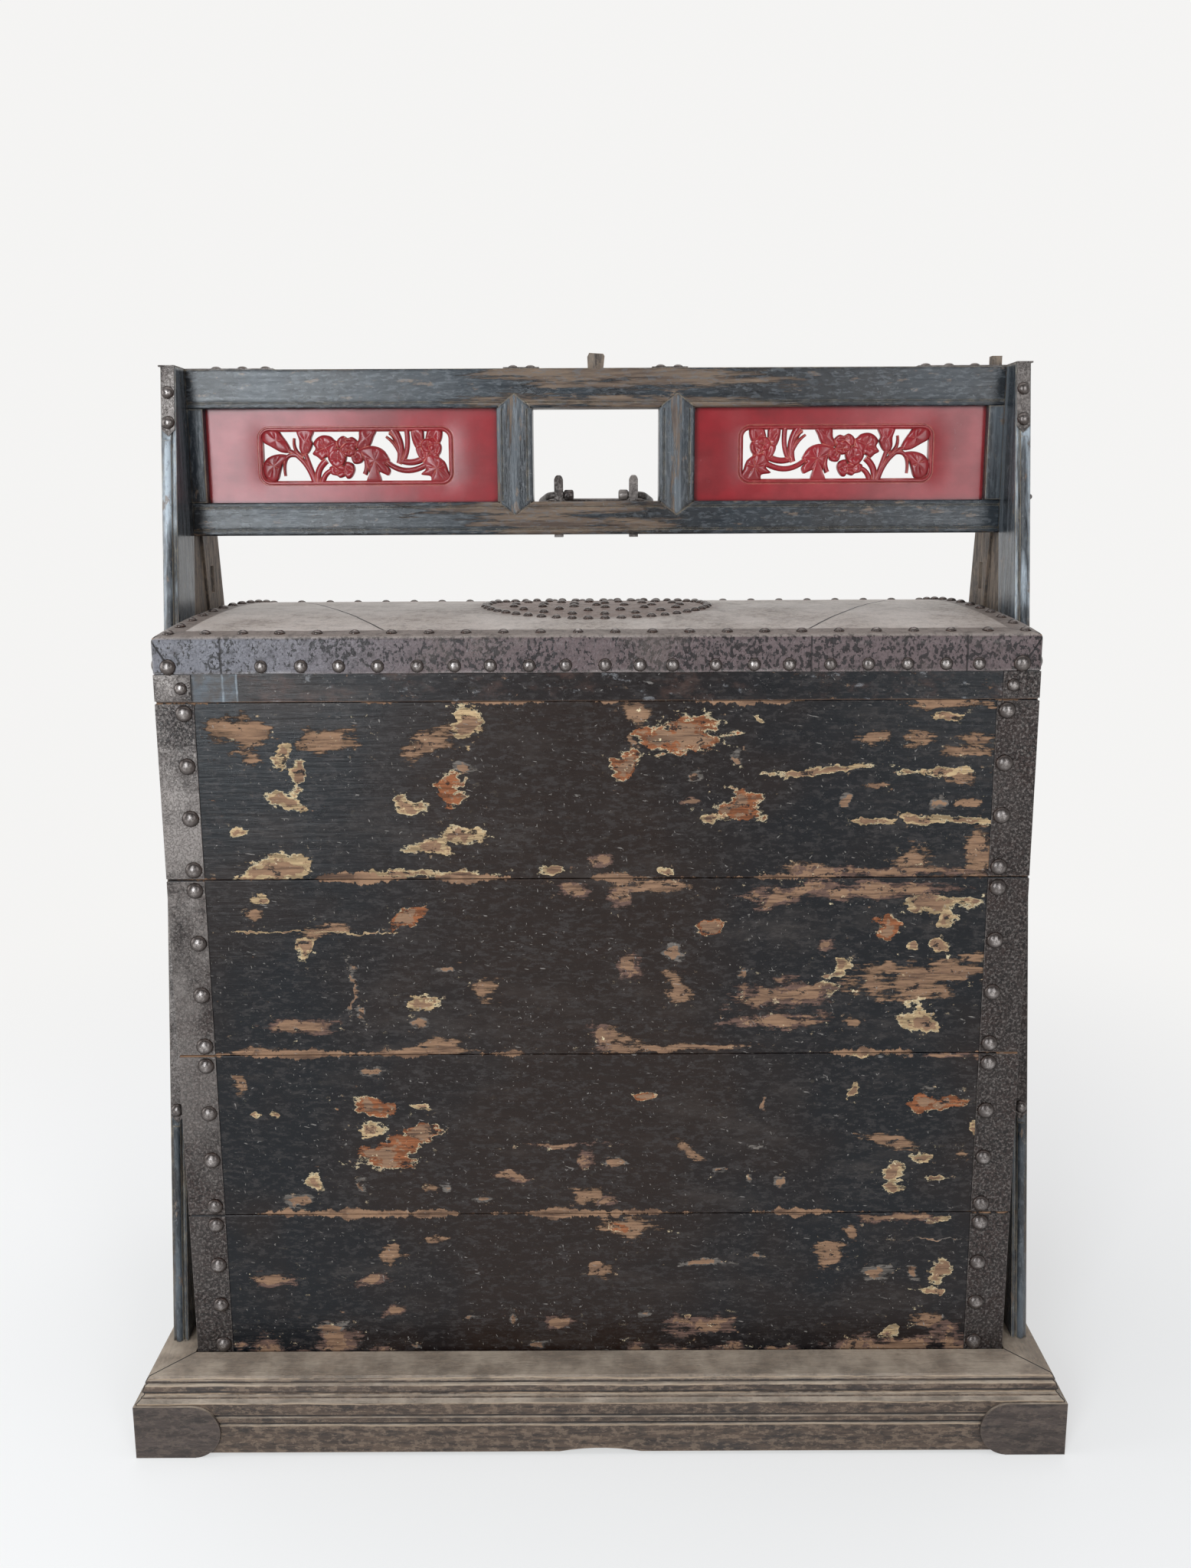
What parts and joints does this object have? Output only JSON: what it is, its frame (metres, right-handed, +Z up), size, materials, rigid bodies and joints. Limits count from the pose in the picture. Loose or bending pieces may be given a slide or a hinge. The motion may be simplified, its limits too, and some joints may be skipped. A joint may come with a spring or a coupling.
{
  "type": "wedding chest",
  "caption": "Stacking wedding chest: trays with iron-bound corners and a leather-covered lid on a moulded base, between A-shaped end frames joined by a carved, pierced top rail.",
  "frame": {"origin": "on the floor, under the middle of the base", "axes": "+X to the right along the chest, +Y to the back, +Z up"},
  "size_m": [0.9744, 0.5344, 1.1492],
  "materials": {
    "base_wood": "worn dark wood with a matt, dusty surface",
    "frame_lacquer": "blue-black lacquer worn to the wood at its edges",
    "worn_wood": "brown worn wood",
    "red_lacquer": "dull red lacquer on carved wood",
    "sheet_iron": "brown rusted sheet iron",
    "dome_nail_iron": "dark dome nails with worn highlights",
    "tray_lacquer": "black lacquer with flaked patches of bare wood",
    "inside_wood": "plain bare wood inside",
    "lid_leather": "old pressed leather, dry and dusty"
  },
  "bodies": {
    "carrier": {"base_front_rail": "base_wood", "base_back_rail": "base_wood", "base_left_rail": "base_wood", "base_right_rail": "base_wood", "base_deck": "base_wood", "deck_bearers": "base_wood", "base_corner_feet": "base_wood", "left_front_leg": "frame_lacquer", "left_rear_leg": "worn_wood", "right_front_leg": "frame_lacquer", "right_rear_leg": "worn_wood", "end_gussets": "worn_wood", "top_rail": "frame_lacquer", "lower_rail": "frame_lacquer", "end_stiles": "frame_lacquer", "muntins": "frame_lacquer", "left_carved_panel": "red_lacquer", "right_carved_panel": "red_lacquer", "leg_top_straps": "sheet_iron", "low_leg_straps": "sheet_iron", "rail_top_straps": "sheet_iron", "frame_strap_nails": "dome_nail_iron", "eye_pins": "sheet_iron", "top_pegs": "worn_wood", "side_staple": "sheet_iron"},
    "bail": {"bail_handle": "sheet_iron"},
    "lid": {"lid_front_rim": "tray_lacquer", "lid_back_rim": "tray_lacquer", "lid_end_rims": "tray_lacquer", "lid_top_board": "inside_wood", "lid_leather_cover": "lid_leather", "lid_corner_irons": "sheet_iron", "lid_skirt_nails": "dome_nail_iron", "lid_border_nails": "dome_nail_iron", "lid_medallion_nails": "dome_nail_iron"},
    "bottom_tray": {"bottom_tray_front": "tray_lacquer", "bottom_tray_back": "tray_lacquer", "bottom_tray_ends": "tray_lacquer", "bottom_tray_floor": "inside_wood", "bottom_tray_irons": "sheet_iron", "bottom_tray_nails": "dome_nail_iron"},
    "lower_tray": {"lower_tray_front": "tray_lacquer", "lower_tray_back": "tray_lacquer", "lower_tray_ends": "tray_lacquer", "lower_tray_floor": "inside_wood", "lower_tray_irons": "sheet_iron", "lower_tray_nails": "dome_nail_iron"},
    "upper_tray": {"upper_tray_front": "tray_lacquer", "upper_tray_back": "tray_lacquer", "upper_tray_ends": "tray_lacquer", "upper_tray_floor": "inside_wood", "upper_tray_irons": "sheet_iron", "upper_tray_nails": "dome_nail_iron"},
    "top_tray": {"top_tray_front": "tray_lacquer", "top_tray_back": "tray_lacquer", "top_tray_ends": "tray_lacquer", "top_tray_floor": "inside_wood", "top_tray_irons": "sheet_iron", "top_tray_nails": "dome_nail_iron"}
  },
  "joints": [
    {"name": "bail_hinge", "type": "hinge", "parent": "carrier", "child": "bail", "pos_m": [0, 0, 0.9957], "axis": [1, 0, 0], "range_deg": [0, 198]},
    {"name": "bottom_tray_lift", "type": "slide", "parent": "carrier", "child": "bottom_tray", "axis": [0, 0, 1], "range_m": [0, 0.02]},
    {"name": "lower_tray_lift", "type": "slide", "parent": "bottom_tray", "child": "lower_tray", "axis": [0, 0, 1], "range_m": [0, 0.012]},
    {"name": "upper_tray_lift", "type": "slide", "parent": "lower_tray", "child": "upper_tray", "axis": [0, 0, 1], "range_m": [0, 0.012]},
    {"name": "top_tray_lift", "type": "slide", "parent": "upper_tray", "child": "top_tray", "axis": [0, 0, 1], "range_m": [0, 0.012]},
    {"name": "lid_lift", "type": "slide", "parent": "top_tray", "child": "lid", "axis": [0, 0, 1], "range_m": [0, 0.012]}
  ]
}
